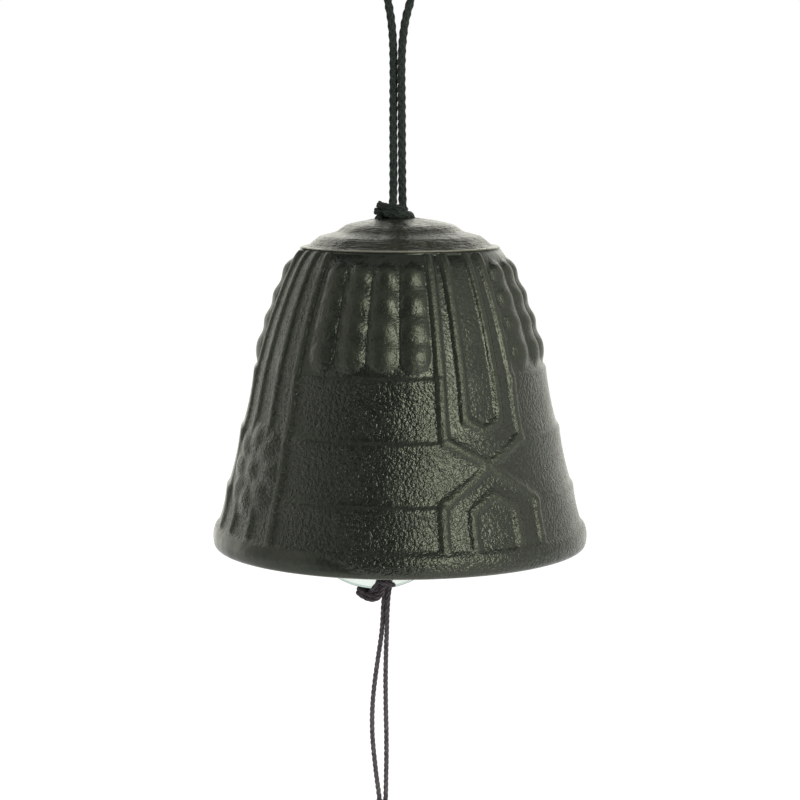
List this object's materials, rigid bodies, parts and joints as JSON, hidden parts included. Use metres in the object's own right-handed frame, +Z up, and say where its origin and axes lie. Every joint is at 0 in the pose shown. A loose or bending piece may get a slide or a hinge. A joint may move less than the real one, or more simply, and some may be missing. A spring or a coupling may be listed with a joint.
{
  "type": "furin wind bell",
  "caption": "Cast iron wind bell in temple-bell form with raised bands and bosses, hung on a braided cord, with a glass disc clapper and a paper strip on a string.",
  "frame": {"origin": "the point of the hook that the cord's eye hangs on: the inside of the top of the eye", "axes": "+Z up along the hanging cord; -Y is the front, which the clapper disc and the paper face; +X right"},
  "size_m": [0.0722, 0.0722, 0.2654],
  "materials": {
    "lacquered_iron": "sand-rough casting under a satin olive-black lacquer, smooth at lip and crown",
    "braided_cord": "tightly braided black cord",
    "twisted_string": "twisted brown-black string",
    "clear_glass": "clear glass, faintly green at the edge",
    "paper": "plain uncoated paper"
  },
  "bodies": {
    "hanger": {"hanging_loop": "braided_cord"},
    "bell": {"bell": "lacquered_iron", "crown_knot": "braided_cord"},
    "clapper_string": {"clapper_loop": "twisted_string"},
    "clapper": {"clapper_disc": "clear_glass", "tail_hitch": "twisted_string"},
    "tail": {"tail_strand_left": "twisted_string", "tail_strand_right": "twisted_string"},
    "paper_knot": {"tail_knot": "twisted_string"},
    "catcher": {"tanzaku": "paper"}
  },
  "joints": [
    {"name": "bell_swing", "type": "hinge", "parent": "hanger", "child": "bell", "pos_m": [-0.00045, 0, -0.04425], "axis": [1, 0, 0], "range_deg": [-25, 25]},
    {"name": "clapper_fore_aft", "type": "hinge", "parent": "bell", "child": "clapper_string", "pos_m": [-0.0028, 0, -0.05395], "axis": [1, 0, 0], "range_deg": [-18, 18]},
    {"name": "clapper_side", "type": "hinge", "parent": "clapper_string", "child": "clapper", "pos_m": [-0.0044, 0, -0.0929], "axis": [0, 1, 0], "range_deg": [-20, 20]},
    {"name": "tail_swing", "type": "hinge", "parent": "clapper", "child": "tail", "pos_m": [-0.00275, -0.00195, -0.1218], "axis": [1, 0, 0], "range_deg": [-35, 35]},
    {"name": "catcher_turn", "type": "hinge", "parent": "tail", "child": "paper_knot", "pos_m": [-0.0034, -0.00195, -0.1647], "axis": [0, 0, 1], "range_deg": [-120, 120]},
    {"name": "catcher_swing", "type": "hinge", "parent": "paper_knot", "child": "catcher", "pos_m": [-0.0034, -0.00195, -0.1711], "axis": [0, 1, 0], "range_deg": [-30, 30]}
  ]
}
